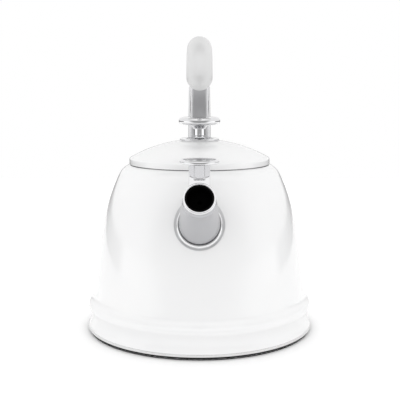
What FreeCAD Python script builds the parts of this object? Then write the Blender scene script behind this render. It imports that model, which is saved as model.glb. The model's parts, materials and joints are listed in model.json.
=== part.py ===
"""Stovetop whistling kettle: every physical piece is its own solid, written to parts/NAME.step.

Frame: millimetres, +Z up, origin on the surface the kettle stands on, at the middle of its base.
The kettle's round pieces share the Z axis. The spout points along -Y and the handle stands at +Y.
"""
import FreeCAD, Part
import math
import os

V = FreeCAD.Vector
X_AXIS = V(1, 0, 0)
Z_AXIS = V(0, 0, 1)
FAR = 500.0                      # larger than the kettle, for cutting blocks
TINY = 1e-3                      # lengths closer than this are the same
WALL_SPANS = 7
OUTLINE_REACH = 4.0              # how far an outline runs on past its ends before it is cut

# ---- sheet metal and fits ----------------------------------------------------------------
wall_t = 0.9                     # drawn steel of the body and the lid
fit = 0.1                        # gap between pieces of one body that only lie together
lift_gap = 0.1                   # gap under a flat seat that another body rests on

# ---- base --------------------------------------------------------------------------------
base_overhang = 0.6              # the polished base cap stands this far out from the foot
cap_t = 1.0
cap_edge_round = 0.8
spreader_t = 3.7
floor_t = 1.0

# ---- body outline ------------------------------------------------------------------------
foot_r = 93.6
bead_set_in = 0.3                # the bead's widest line, inside the foot's radius
bead_z = 20.6
bead_round = 5.0
bead_turn = 55.0                 # degrees of the bead above its widest line
bead_under = 24.0                # degrees of the bead below it
wall_set_in = 5.6                # the wall's foot above the bead, inside the foot's radius
wall_lean = 6.25                 # degrees from the vertical at the wall's foot
wall_power = 3.6                 # how suddenly the wall curls in towards its top
body_h = 137.4                   # top of the shoulder, where the lid's seat begins
shoulder_drop = 7.6              # height of the tight round below that
shoulder_reach = 8.327           # how far that round reaches out from the seat
seat_r = 58.0
seat_w = 4.4                     # flat seat between its outer edge and the opening
neck_h = 9.0                     # turned-down collar of the opening

# ---- neck ring ---------------------------------------------------------------------------
ring_t = 0.7
ring_flange_w = 2.4              # its flange on the seat
ring_h = 10.5

# ---- lid ---------------------------------------------------------------------------------
lid_gap = 0.7                    # dark gap between the lid's rim and the shoulder
lid_rim_h = 4.6
lid_rim_round = 1.6
lid_dome_r = 117.0
skirt_t = 0.8
skirt_gap = 0.9                  # radial gap between the skirt and the neck ring
skirt_h = 8.5
gasket_t = 1.6
gasket_w = 2.6

# ---- knob --------------------------------------------------------------------------------
flange_r = 16.2
flange_h = 0.5                   # above the top of the dome
stem_r = 4.8
stem_h = 11.5
stem_foot_step = 0.6             # the stem's foot is this much slimmer
stem_foot_h = 2.2
flare_r = 8.2
flare_h = 3.6
disc_r = 17.1
disc_t = 6.2
disc_crown = 0.4
disc_spigot_r = 3.2
disc_spigot_h = 3.0
knob_screw_r = 2.5
knob_head_r = 4.6
knob_head_h = 2.4
knob_bite = 7.0                  # length of thread in the stem
washer_r = 7.5
washer_t = 0.8

# ---- spout -------------------------------------------------------------------------------
spout_tilt = 31.5                # degrees above the horizontal
spout_root_drop = 36.9           # its axis leaves the wall this far below body_h
spout_len = 47.84                # from there to the tip, along the axis
spout_run_in = 22.2              # how far its solids run on inside before the wall cuts them
tip_r = 11.5
spout_taper = 0.088              # growth of the radius for each mm back from the tip
spout_t = 1.1
socket_gap = 0.55                # radial gap between the whistle's barrel and its socket
socket_len = 19.0
collar_w = 3.2                   # the collar stands this far out round the spout's root
collar_t = 2.4

# ---- whistle -----------------------------------------------------------------------------
cap_ring_t = 2.6                 # chrome ring on the spout's end
cap_ring_wall = 1.4
barrel_set = 0.6                 # how far the barrel's front edge stands back
barrel_wall = 1.3
barrel_len = 18.0
seal_at = 8.0
seal_w = 3.0
seal_depth = 0.6                 # depth of its groove
seal_clearance = 0.08
plate_t = 0.6
plate_hole_r = 1.6
front_plate_at = 8.5
plate_spacing = 5.0
tab_w = 15.0
tab_t = 1.6
tab_set = 0.5
panel_w = 6.8
panel_low = 3.6                  # height of the stamped panel's lower edge above the ring
panel_h = 8.6
stamp_depth = 0.5
thumb_r = 14.0
thumb_rise = 22.2                # its underside above the spout's tip
thumb_t = 3.0
thumb_lip = 2.2
thumb_dish = 0.9

# ---- handle ------------------------------------------------------------------------------
hand_gap = 45.11                 # from the knob's top up to the grip's underside
rear_bend_r = 48.0
top_bend_r = 110.0
front_bend_r = 24.0
strap_lean = 9.0                 # degrees from the vertical
rear_turn = 70.0                 # places on the bends are angles measured from +Y
front_turn = 108.0
front_end = 168.0
grip_start = 30.0
grip_r = 9.9
grip_end_round = 2.0
strap_t = 5.5
strap_stand = 2.26               # its middle line off the wall, halfway up the foot pad
strap_inset = 0.6                # its edge at the top, inside the grip's outline
strap_foot_w = 22.6
strap_foot_drop = 27.4           # height of that width below body_h
strap_taper_h = 90.0             # height over which the strap narrows to its top width
strap_edge_round = 1.3
rib_w = 2.9                      # width of each rib beside the recessed panel
panel_depth = 1.1
panel_above_pad = 9.0            # the panel's lower edge, above the foot pad
pad_t = 3.4
pad_w = 30.0
pad_h = 39.0
pad_drop = 14.4                  # the pad's top edge below body_h
pad_corner = 9.0
pad_gasket_t = 1.0
pad_gasket_margin = 1.0
backing_t = 1.5
backing_margin = 3.0
tang_w = 11.0
tang_t = 3.4
tang_end = 150.0                 # the tang stops here on the front bend
tang_lap = 4.0                   # degrees that the tang runs on into the strap
tang_end_gap = 1.0               # degrees of free slot past the tang's end
seam = 0.12                      # gap between the two grip halves
cut_margin = 1.0                 # how much larger than the grip its cutting bands are
cut_turn = 3.0                   # degrees that they run on past a bend's ends
bracket_screw_inset = 10.0       # from the pad's top and bottom edges
bracket_screw_r = 2.0
bracket_head_r = 4.0
bracket_head_h = 2.2
bracket_bite = 4.5               # length of thread in the handle's foot
grip_screw_turns = (50.0, 89.0, 128.0)
grip_screw_r = 1.6
grip_head_r = 3.2
grip_head_h = 2.2
grip_head_depth = 1.4            # how deep the heads are sunk
grip_bite = 4.0                  # length of thread in the upper grip half

# ---- screw heads, as shares of the head's radius or height -------------------------------
head_top_share = 0.8             # radius of the head's flat top
cross_length_share = 1.1
cross_width_share = 0.24
cross_depth_share = 0.5

# ---- values that follow ------------------------------------------------------------------
base_r = foot_r + base_overhang
cap_h = cap_t + spreader_t
bead_r = foot_r - bead_set_in
wall_foot_r = foot_r - wall_set_in
lid_r = seat_r
neck_r = seat_r - seat_w
ring_flange_r = neck_r + ring_flange_w
ring_bore = neck_r - fit - ring_t
gasket_z = body_h + ring_t + lift_gap
skirt_z = gasket_z + gasket_t
skirt_r = ring_bore - skirt_gap
lid_rim_z = body_h + lid_gap
dome_edge_z = lid_rim_z + lid_rim_h
dome_centre = V(0, 0, dome_edge_z - math.sqrt(lid_dome_r ** 2 - lid_r ** 2))
lid_top_z = dome_centre.z + lid_dome_r
stem_z = lid_top_z + flange_h
disc_z = stem_z + stem_h
mouth_r = tip_r - cap_ring_wall
barrel_r = mouth_r - fit / 2
socket_r = barrel_r + socket_gap
socket_at = cap_ring_t + lift_gap
spout_back = spout_len + spout_run_in
pad_top_z = body_h - pad_drop
pad_bottom_z = pad_top_z - pad_h
bracket_screw_z = (pad_bottom_z + bracket_screw_inset, pad_top_z - bracket_screw_inset)
bracket_screw_len = wall_t + backing_t + pad_gasket_t + bracket_bite + 2 * fit
crest_z = disc_z + disc_t + hand_gap + grip_r
strap_top_w = 2 * (grip_r - strap_inset)
strap_foot_z = body_h - strap_foot_drop


# ---- the body's outline ------------------------------------------------------------------
def bead_low_end():
    """Lower end of the bead's round, and the outline's heading down from it."""
    under = math.radians(bead_under)
    point = rz(bead_r - bead_round + bead_round * math.cos(under),
               bead_z - bead_round * math.sin(under))
    return point, V(-math.sin(under), 0, -math.cos(under))


def bead_high_end():
    """Upper end of the bead's round, and the outline's heading up from it."""
    turn = math.radians(bead_turn)
    point = rz(bead_r - bead_round + bead_round * math.cos(turn),
               bead_z + bead_round * math.sin(turn))
    return point, V(-math.sin(turn), 0, math.cos(turn))


def wall_foot_z():
    """Height at which the wall leaves the hollow blend above the bead."""
    turn = math.radians(bead_turn)
    lean = math.radians(wall_lean)
    start = bead_high_end()[0]
    blend_r = (start.x - wall_foot_r) / (math.cos(lean) - math.cos(turn))
    return start.z + blend_r * (math.sin(turn) - math.sin(lean))


def wall_run():
    """The wall's foot height, its height, its lean and its curl up to the lid's seat."""
    foot_z = wall_foot_z()
    height = body_h - foot_z
    lean = height * math.tan(math.radians(wall_lean))
    last = 1 - shoulder_drop / height
    curl = (wall_foot_r - lean * last - seat_r - shoulder_reach) / last ** wall_power
    return foot_z, height, lean, curl


def wall_point(t):
    """Point on the wall, with t from 0 at its foot to 1 at the height of the lid's seat."""
    foot_z, height, lean, curl = wall_run()
    return rz(wall_foot_r - lean * t - curl * t ** wall_power, foot_z + height * t)


def wall_heading(t):
    height, lean, curl = wall_run()[1:]
    return V(-lean - curl * wall_power * t ** (wall_power - 1), 0, height).normalize()


def rear_wall(z):
    """Point on the middle of the rear wall, and the wall's outward direction there."""
    foot_z, height = wall_run()[:2]
    t = (z - foot_z) / height
    heading = wall_heading(t)
    return V(0, wall_point(t).x, z), V(0, heading.z, -heading.x)


def on_circle(centre, radius, degrees):
    """Point in the YZ plane, with the angle measured from +Y towards +Z."""
    angle = math.radians(degrees)
    return centre + V(0, radius * math.cos(angle), radius * math.sin(angle))


def rz(r, z):
    """Point of an outline that is turned about Z."""
    return V(r, 0, z)


# ---- places that follow from the body ----------------------------------------------------
tilt = math.radians(spout_tilt)
SPOUT = V(0, -math.cos(tilt), math.sin(tilt))
SPOUT_UP = V(0, math.sin(tilt), math.cos(tilt))
spout_root_z = body_h - spout_root_drop
TIP = V(0, -rear_wall(spout_root_z)[0].y, spout_root_z) + SPOUT * spout_len
thumb_z = TIP.z + thumb_rise


def bend_centres():
    """Centres of the handle's rear, top and front bends, which run on smoothly.

    The straight leg below the rear bend meets the wall halfway up the foot pad.
    """
    lean = math.radians(strap_lean)
    turn = math.radians(rear_turn)
    step = top_bend_r - rear_bend_r
    top_z = crest_z - top_bend_r
    rear_z = top_z + step * math.sin(turn)
    landing = rear_wall((pad_bottom_z + pad_top_z) / 2)[0] + V(0, strap_stand, 0)
    leg_top_z = rear_z + rear_bend_r * math.sin(lean)
    leg_top_y = landing.y - (leg_top_z - landing.z) * math.tan(lean)
    rear = V(0, leg_top_y - rear_bend_r * math.cos(lean), rear_z)
    top = V(0, rear.y - step * math.cos(turn), top_z)
    return rear, top, on_circle(top, top_bend_r - front_bend_r, front_turn)


rear_centre, top_centre, front_centre = bend_centres()


# ---- helpers -----------------------------------------------------------------------------
def save(name, shape):
    shape.exportStep("parts/%s.step" % name)


def polyline(points):
    return [Part.makeLine(a, b) for a, b in zip(points, points[1:])]


def turned(edges):
    """Solid of revolution about Z from a closed chain of edges in the XZ plane."""
    face = Part.Face(Part.Wire(edges))
    return face.revolve(V(0, 0, 0), Z_AXIS, 360)


def turned_outline(points):
    return turned(polyline(points + points[:1]))


def tube(outer, inner, z0, z1):
    """Plain ring about Z."""
    ring = Part.makeCylinder(outer, z1 - z0, V(0, 0, z0))
    if inner <= 0:
        return ring
    return ring.cut(Part.makeCylinder(inner, z1 - z0, V(0, 0, z0)))


def along_spout(outer_back, outer_front, back, front):
    """Cone on the spout's axis. Distances are measured back from the tip."""
    start = TIP - SPOUT * back
    if abs(outer_back - outer_front) < TINY:
        return Part.makeCylinder(outer_back, back - front, start, SPOUT)
    return Part.makeCone(outer_back, outer_front, back - front, start, SPOUT)


def spout_radius(back):
    return tip_r + spout_taper * back


def tangent_arc(start, heading, end):
    """Arc in the XZ plane from start to end that leaves start along heading."""
    chord = end - start
    heading = V(heading).normalize()
    across = chord - heading * chord.dot(heading)
    radius = chord.dot(chord) / (2 * across.Length)
    centre = start + V(across).normalize() * radius
    middle = (start + end) * 0.5 - centre
    return Part.Arc(start, centre + middle.normalize() * radius, end)


def crown(r, edge_z, axis_z):
    """Arc from a rim to the Z axis, level where it meets the axis."""
    rise = axis_z - edge_z
    radius = (r * r + rise * rise) / (2 * abs(rise))
    centre_z = axis_z - math.copysign(radius, rise)
    half = r / 2
    middle_z = centre_z + math.copysign(math.sqrt(radius ** 2 - half ** 2), rise)
    return Part.Arc(rz(r, edge_z), rz(half, middle_z), rz(0, axis_z)).toShape()


def outward(point, heading, offset):
    """Point moved to the right of its heading, which is outwards on an outline that runs up."""
    return point + V(heading.z, 0, -heading.x) * offset


def moved_arc(arc, offset):
    """The same arc, moved to the right of its own direction."""
    middle = (arc.FirstParameter + arc.LastParameter) / 2
    places = (arc.FirstParameter, middle, arc.LastParameter)
    points = [outward(arc.value(t), arc.tangent(t)[0], offset) for t in places]
    return Part.Arc(*points).toShape()


def arc_band(centre, radius, start, end, thick, width):
    """Curved bar in the YZ plane: a band along an arc, extruded in X."""
    inner = radius - thick / 2
    outer = radius + thick / 2
    middle = (start + end) / 2
    edges = [
        Part.Arc(on_circle(centre, outer, start), on_circle(centre, outer, middle),
                 on_circle(centre, outer, end)).toShape(),
        Part.makeLine(on_circle(centre, outer, end), on_circle(centre, inner, end)),
        Part.Arc(on_circle(centre, inner, end), on_circle(centre, inner, middle),
                 on_circle(centre, inner, start)).toShape(),
        Part.makeLine(on_circle(centre, inner, start), on_circle(centre, outer, start)),
    ]
    face = Part.Face(Part.Wire(edges))
    face.translate(V(-width / 2, 0, 0))
    return face.extrude(V(width, 0, 0))


def straight_bar(start, end, thick, width):
    """Straight bar in the YZ plane between two points of its middle line."""
    along = (end - start).normalize()
    across = V(0, -along.z, along.y) * (thick / 2)
    corners = [start + across, end + across, end - across, start - across]
    face = Part.Face(Part.Wire(polyline(corners + corners[:1])))
    face.translate(V(-width / 2, 0, 0))
    return face.extrude(V(width, 0, 0))


def arc_rod(centre, radius, start, end, rod_r):
    """Round rod bent along an arc in the YZ plane."""
    begin = on_circle(centre, radius, start)
    normal = V(0, -math.sin(math.radians(start)), math.cos(math.radians(start)))
    disc = Part.Face(Part.Wire(Part.makeCircle(rod_r, begin, normal)))
    return disc.revolve(centre, X_AXIS, end - start)


def joined(shapes):
    result = shapes[0]
    for shape in shapes[1:]:
        result = result.fuse(shape)
    return result.removeSplitter()


# ---- body shell --------------------------------------------------------------------------
def body_outline(offset):
    """Outline from the foot up to the lid's seat, moved outwards by offset.

    Returns its edges, which follow on smoothly, with its first and last point and heading.
    """
    bead_low, down = bead_low_end()
    bead_top, up = bead_high_end()
    waist = tangent_arc(bead_low, down, rz(foot_r, cap_h))
    bead = Part.Arc(bead_low, rz(bead_r, bead_z), bead_top)
    last = 1 - shoulder_drop / (body_h - wall_foot_z())
    steps = [last * i / WALL_SPANS for i in range(WALL_SPANS + 1)]
    points = [wall_point(t) for t in steps]
    slopes = [wall_heading(t) for t in steps]
    blend = tangent_arc(bead_top, up, points[0])
    shoulder = tangent_arc(points[-1], slopes[-1], rz(seat_r, body_h))
    wall = Part.BSplineCurve()
    wall.interpolate([outward(p, h, offset) for p, h in zip(points, slopes)],
                     InitialTangent=slopes[0], FinalTangent=slopes[-1])
    edges = [moved_arc(waist, -offset), moved_arc(bead, offset), moved_arc(blend, offset),
             wall.toShape(), moved_arc(shoulder, offset)]
    first = waist.value(waist.LastParameter)
    first_heading = waist.tangent(waist.LastParameter)[0] * -1
    end = shoulder.value(shoulder.LastParameter)
    end_heading = shoulder.tangent(shoulder.LastParameter)[0]
    return (edges, outward(first, first_heading, offset), first_heading,
            outward(end, end_heading, offset), end_heading)


def body_solid(offset):
    """The body's outside as a solid, grown by offset, or shrunk if it is negative."""
    edges, first, first_heading, end, end_heading = body_outline(offset)
    low = first - first_heading * OUTLINE_REACH
    high = end + end_heading * OUTLINE_REACH
    closing = polyline([end, high, rz(0, high.z), rz(0, low.z), low, first])
    top = body_h + min(offset, 0)
    return turned(edges + closing).common(tube(FAR, 0, cap_h, top))


def rear_plate(width, z0, z1, corner):
    """Block behind the Z axis with a rounded-rectangle outline in the XZ plane."""
    block = Part.makeBox(width, FAR, z1 - z0, V(-width / 2, 0, z0))
    return block.makeFillet(corner, [e for e in block.Edges if runs_along(e, V(0, 1, 0))])


def runs_along(edge, direction):
    ends = edge.Vertexes[-1].Point - edge.Vertexes[0].Point
    return ends.Length > 0 and abs(abs(ends.normalize().dot(direction)) - 1) < TINY


def screw(head_at, direction, head_r, head_h, shank_r, length):
    """Pan-head screw with a cross recess. head_at is the middle of the face under its head."""
    direction = V(direction).normalize()
    crown = head_at - direction * head_h
    head = Part.makeCone(head_r * head_top_share, head_r, head_h, crown, direction)
    shank = Part.makeCylinder(shank_r, length, head_at, direction)
    body = head.fuse(shank)
    long = head_r * cross_length_share
    wide = head_r * cross_width_share
    for turn in (0, 90):
        blade = Part.makeBox(long, wide, head_h * cross_depth_share, V(-long / 2, -wide / 2, 0))
        blade.rotate(V(0, 0, 0), Z_AXIS, turn)
        blade.Placement = FreeCAD.Placement(crown, FreeCAD.Rotation(Z_AXIS, direction)).multiply(
            blade.Placement)
        body = body.cut(blade)
    return body


def screw_hole(head_at, direction, shank_r, length):
    """Hole from the face under a screw's head, begun just short of it to cut cleanly."""
    start = head_at - V(direction).normalize() * TINY
    return Part.makeCylinder(shank_r, length + TINY, start, direction)


# ---- screws' places ----------------------------------------------------------------------
def bracket_screws():
    """Places of the handle's screws: the face under each head, inside the pot."""
    places = []
    for z in bracket_screw_z:
        point, normal = rear_wall(z)
        hollow = bracket_head_r ** 2 / (2 * point.y)
        places.append((point - normal * (wall_t + backing_t + hollow + fit), normal))
    return places


def grip_screws():
    """Places of the grip's screws: the face under each head, and the way it points."""
    places = []
    bends = ((rear_centre, rear_bend_r), (top_centre, top_bend_r), (front_centre, front_bend_r))
    for (centre, radius), angle in zip(bends, grip_screw_turns):
        outwards = on_circle(V(0, 0, 0), 1, angle)
        seat = on_circle(centre, radius - grip_r + grip_head_depth + grip_head_h, angle)
        places.append((seat, outwards))
    return places


def grip_screw_length():
    return grip_r - grip_head_depth - grip_head_h + tang_t / 2 + grip_bite


# ---- body ----------------------------------------------------------------------------------
def make_body():
    bore_r = spout_radius(spout_len) - spout_t
    shell = body_solid(0).cut(body_solid(-wall_t))
    shell = shell.cut(tube(neck_r, 0, body_h - neck_h, FAR))
    shell = shell.fuse(tube(neck_r + wall_t, neck_r, body_h - neck_h, body_h)).removeSplitter()
    shell = shell.cut(along_spout(bore_r, bore_r, spout_back, 0))
    for place, normal in bracket_screws():
        shell = shell.cut(screw_hole(place, normal, bracket_screw_r + fit, bracket_screw_len))
    save("body_shell", shell)

    inside = body_solid(-wall_t - fit / 2)
    save("pot_floor", inside.common(tube(FAR, 0, cap_h, cap_h + floor_t)))
    save("heat_spreader", tube(base_r - cap_t - 2 * fit, 0, cap_t, cap_h))
    cap = tube(base_r, 0, 0, cap_h).cut(tube(base_r - cap_t, 0, cap_t, cap_h))
    low_edge = [e for e in cap.Edges if e.BoundBox.ZMax < TINY]
    save("base_cap", cap.makeFillet(cap_edge_round, low_edge))
    save("neck_ring", turned_outline([
        rz(ring_bore, body_h - ring_h), rz(ring_bore + ring_t, body_h - ring_h),
        rz(ring_bore + ring_t, body_h), rz(ring_flange_r, body_h),
        rz(ring_flange_r, body_h + ring_t), rz(ring_bore, body_h + ring_t)]))


# ---- spout ---------------------------------------------------------------------------------
def make_spout():
    outside = along_spout(spout_radius(spout_back), spout_radius(socket_at), spout_back, socket_at)
    bore = along_spout(spout_radius(spout_back) - spout_t, spout_radius(socket_at) - spout_t,
                       spout_back, socket_at)
    body = body_solid(0)
    save("spout_tube", outside.cut(bore).cut(body))
    socket_end = socket_at + socket_len
    socket = along_spout(spout_radius(socket_end) - spout_t - fit / 2,
                         spout_radius(socket_at) - spout_t - fit / 2, socket_end, socket_at)
    save("spout_socket", socket.cut(along_spout(socket_r, socket_r, socket_end, socket_at)))
    collar_r = spout_radius(spout_len) + collar_w
    collar = body_solid(collar_t).common(along_spout(collar_r, collar_r, spout_back, 0))
    collar = collar.cut(body)
    room = along_spout(spout_radius(spout_back) + fit / 2, spout_radius(0) + fit / 2, spout_back, 0)
    save("spout_collar", collar.cut(room))


# ---- whistle -------------------------------------------------------------------------------
def make_whistle():
    ring_outside = along_spout(spout_radius(cap_ring_t), tip_r, cap_ring_t, 0)
    ring = ring_outside.cut(along_spout(mouth_r, mouth_r, cap_ring_t, 0))
    save("whistle_cap_ring", ring)

    end = barrel_set + barrel_len
    bore = barrel_r - barrel_wall
    barrel = along_spout(barrel_r, barrel_r, end, barrel_set)
    barrel = barrel.cut(along_spout(bore, bore, end, barrel_set))
    groove = along_spout(socket_r, socket_r, seal_at + seal_w, seal_at)
    groove_floor = barrel_r - seal_depth
    groove = groove.cut(along_spout(groove_floor, groove_floor, seal_at + seal_w, seal_at))
    save("whistle_barrel", barrel.cut(groove))
    seal_r = socket_r - seal_clearance
    seal = along_spout(seal_r, seal_r, seal_at + seal_w, seal_at)
    save("whistle_seal", seal.cut(along_spout(groove_floor, groove_floor, seal_at + seal_w, seal_at)))

    plate_r = bore - fit / 2
    for name, at in (("whistle_front_plate", front_plate_at),
                     ("whistle_rear_plate", front_plate_at + plate_spacing)):
        plate = along_spout(plate_r, plate_r, at + plate_t, at)
        save(name, plate.cut(along_spout(plate_hole_r, plate_hole_r, at + plate_t, at)))
    save_tab(ring_outside)


def save_tab(ring):
    """Lifting tab on top of the ring, in the ring's plane, and the thumb disc on its end."""
    rise = thumb_rise / SPOUT_UP.z
    reach = rise + tab_t
    placement = FreeCAD.Placement(TIP, FreeCAD.Rotation(X_AXIS, SPOUT_UP, SPOUT, "ZXY"))
    tab = Part.makeBox(tab_w, reach, tab_t, V(-tab_w / 2, 0, -tab_set - tab_t))
    stamp = Part.makeBox(panel_w, panel_h, stamp_depth,
                         V(-panel_w / 2, tip_r + panel_low, -tab_set - stamp_depth))
    tab = tab.cut(stamp)
    tab.Placement = placement
    tab = tab.cut(ring).common(Part.makeBox(FAR, FAR, FAR, V(-FAR / 2, -FAR, thumb_z - FAR)))
    save("whistle_tab", tab)

    top = TIP + SPOUT_UP * rise - SPOUT * (tab_set + tab_t / 2)
    round_r = thumb_t / 2
    dish_r = thumb_r - thumb_lip
    outline = [
        Part.makeLine(rz(0, 0), rz(thumb_r - round_r, 0)),
        Part.Arc(rz(thumb_r - round_r, 0), rz(thumb_r, round_r), rz(thumb_r - round_r, thumb_t)).toShape(),
        Part.makeLine(rz(thumb_r - round_r, thumb_t), rz(dish_r, thumb_t)),
        crown(dish_r, thumb_t, thumb_t - thumb_dish),
        Part.makeLine(rz(0, thumb_t - thumb_dish), rz(0, 0)),
    ]
    disc = turned(outline)
    disc.translate(V(0, top.y, thumb_z))
    save("whistle_thumb_disc", disc)


# ---- lid -----------------------------------------------------------------------------------
def dome(radius, rim_r):
    """Solid under the lid's dome, down to the rim's lower edge."""
    ball = Part.makeSphere(radius, dome_centre)
    return ball.common(tube(rim_r, 0, lid_rim_z, FAR))


def make_lid():
    lid = dome(lid_dome_r, lid_r)
    edge = [e for e in lid.Edges if abs(e.BoundBox.ZMin - dome_edge_z) < TINY
            and abs(e.BoundBox.ZMax - dome_edge_z) < TINY]
    lid = lid.makeFillet(lid_rim_round, edge)
    lid = lid.cut(dome(lid_dome_r - wall_t, lid_r - wall_t))
    screw_gap = tube(knob_screw_r + fit, 0, lid_rim_z, FAR)
    save("lid_shell", lid.cut(screw_gap))

    rim = lid_r - wall_t - fit
    save("lid_skirt", turned_outline([
        rz(skirt_r - skirt_t, skirt_z - skirt_h), rz(skirt_r, skirt_z - skirt_h),
        rz(skirt_r, skirt_z), rz(rim, skirt_z), rz(rim, skirt_z + skirt_t),
        rz(skirt_r - skirt_t, skirt_z + skirt_t)]))
    save("lid_gasket", tube(ring_flange_r, ring_flange_r - gasket_w, gasket_z, skirt_z))


def make_knob():
    ball = Part.makeSphere(lid_dome_r, dome_centre)
    flange = tube(flange_r, knob_screw_r + fit, dome_edge_z, stem_z).cut(ball)
    save("knob_flange", flange)

    flare_z = disc_z - flare_h
    stem_foot_r = stem_r - stem_foot_step
    stem = turned([
        Part.makeLine(rz(0, stem_z), rz(stem_foot_r, stem_z)),
        Part.makeLine(rz(stem_foot_r, stem_z), rz(stem_foot_r, stem_z + stem_foot_h)),
        Part.makeLine(rz(stem_foot_r, stem_z + stem_foot_h), rz(stem_r, stem_z + stem_foot_h)),
        Part.makeLine(rz(stem_r, stem_z + stem_foot_h), rz(stem_r, flare_z)),
        tangent_arc(rz(stem_r, flare_z), Z_AXIS, rz(flare_r, disc_z)).toShape(),
        Part.makeLine(rz(flare_r, disc_z), rz(0, disc_z)),
        Part.makeLine(rz(0, disc_z), rz(0, stem_z))])
    stem = stem.cut(tube(knob_screw_r + fit / 2, 0, stem_z, stem_z + knob_bite + fit))
    stem = stem.cut(tube(disc_spigot_r + fit / 2, 0, disc_z - disc_spigot_h - fit, disc_z))
    save("knob_stem", stem)

    round_r = disc_t / 2 - disc_crown / 2
    disc = turned([
        Part.makeLine(rz(0, disc_z), rz(disc_r - round_r, disc_z)),
        Part.Arc(rz(disc_r - round_r, disc_z), rz(disc_r, disc_z + round_r),
                 rz(disc_r - round_r, disc_z + 2 * round_r)).toShape(),
        crown(disc_r - round_r, disc_z + 2 * round_r, disc_z + disc_t),
        Part.makeLine(rz(0, disc_z + disc_t), rz(0, disc_z))])
    disc = disc.fuse(tube(disc_spigot_r, 0, disc_z - disc_spigot_h, disc_z)).removeSplitter()
    save("knob_disc", disc)

    inner_top = lid_top_z - wall_t
    washer_z = inner_top - washer_t - washer_r ** 2 / (2 * lid_dome_r)
    save("knob_washer", tube(washer_r, knob_screw_r + fit, washer_z, washer_z + washer_t))
    length = stem_z + knob_bite - washer_z
    save("knob_screw", screw(V(0, 0, washer_z), Z_AXIS, knob_head_r, knob_head_h,
                             knob_screw_r, length))


# ---- handle --------------------------------------------------------------------------------
def strap_run(offset, thick, width):
    """Exposed strap: its straight leg and the start of the rear bend, as one bar."""
    lean = math.radians(strap_lean)
    top = on_circle(rear_centre, rear_bend_r + offset, strap_lean)
    down = V(0, math.sin(lean), -math.cos(lean))
    leg = top + down * ((top.z - pad_bottom_z - pad_corner) / math.cos(lean))
    bend = arc_band(rear_centre, rear_bend_r + offset, strap_lean, grip_start, thick, width)
    return straight_bar(leg, top, thick, width).fuse(bend).removeSplitter()


def strap_taper(inset):
    """Wedge through the strap that gives it its width at each height."""
    slope = (strap_foot_w - strap_top_w) / 2 / strap_taper_h
    corners = []
    for z in (0.0, FAR):
        half = strap_foot_w / 2 - inset - slope * (z - strap_foot_z)
        corners += [V(-half, 0, z), V(half, 0, z)]
    corners = [corners[0], corners[1], corners[3], corners[2], corners[0]]
    return Part.Face(Part.Wire(polyline(corners))).extrude(V(0, FAR, 0))


def tang():
    """Narrow end of the strap, inside the grip."""
    return joined([
        arc_band(rear_centre, rear_bend_r, grip_start - tang_lap, rear_turn, tang_t, tang_w),
        arc_band(top_centre, top_bend_r, rear_turn, front_turn, tang_t, tang_w),
        arc_band(front_centre, front_bend_r, front_turn, tang_end, tang_t, tang_w)])


def make_handle():
    strap = strap_run(0, strap_t, 2 * strap_foot_w).common(strap_taper(0))
    long_edges = [e for e in strap.Edges if e.BoundBox.XLength < strap_top_w / 2
                  and e.BoundBox.ZLength > 2 * strap_t]
    strap = strap.makeFillet(strap_edge_round, long_edges)
    above = Part.makeBox(FAR, FAR, FAR, V(-FAR / 2, 0, pad_top_z + panel_above_pad))
    panel = strap_taper(rib_w).common(above)
    for side in (-1, 1):
        recess = strap_run(side * (strap_t - panel_depth) / 2, panel_depth, 2 * strap_foot_w)
        strap = strap.cut(recess.common(panel))
    pad_outline = rear_plate(pad_w, pad_bottom_z, pad_top_z, pad_corner)
    pad = body_solid(pad_gasket_t + pad_t).cut(body_solid(pad_gasket_t)).common(pad_outline)
    strap = strap.fuse(pad).fuse(tang()).cut(body_solid(pad_gasket_t)).removeSplitter()
    for place, normal in bracket_screws():
        strap = strap.cut(screw_hole(place, normal, bracket_screw_r + fit / 2,
                                     bracket_screw_len + fit))
    for seat, outwards in grip_screws():
        strap = strap.cut(screw_hole(seat, outwards, grip_screw_r + fit, grip_r))
    save("handle_strap", strap)

    margin = pad_gasket_margin
    gasket = body_solid(pad_gasket_t).cut(body_solid(0)).common(
        rear_plate(pad_w + 2 * margin, pad_bottom_z - margin, pad_top_z + margin,
                   pad_corner + margin))
    backing = body_solid(-wall_t).cut(body_solid(-wall_t - backing_t)).common(
        rear_plate(pad_w - 2 * backing_margin, pad_bottom_z + backing_margin,
                   pad_top_z - backing_margin, pad_corner - backing_margin))
    screws = []
    for place, normal in bracket_screws():
        hole = screw_hole(place, normal, bracket_screw_r + fit, bracket_screw_len)
        gasket = gasket.cut(hole)
        backing = backing.cut(hole)
        screws.append(screw(place, normal, bracket_head_r, bracket_head_h, bracket_screw_r,
                            bracket_screw_len))
    save("strap_gasket", gasket)
    save("backing_plate", backing)
    save("bracket_screws", Part.makeCompound(screws))


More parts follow.
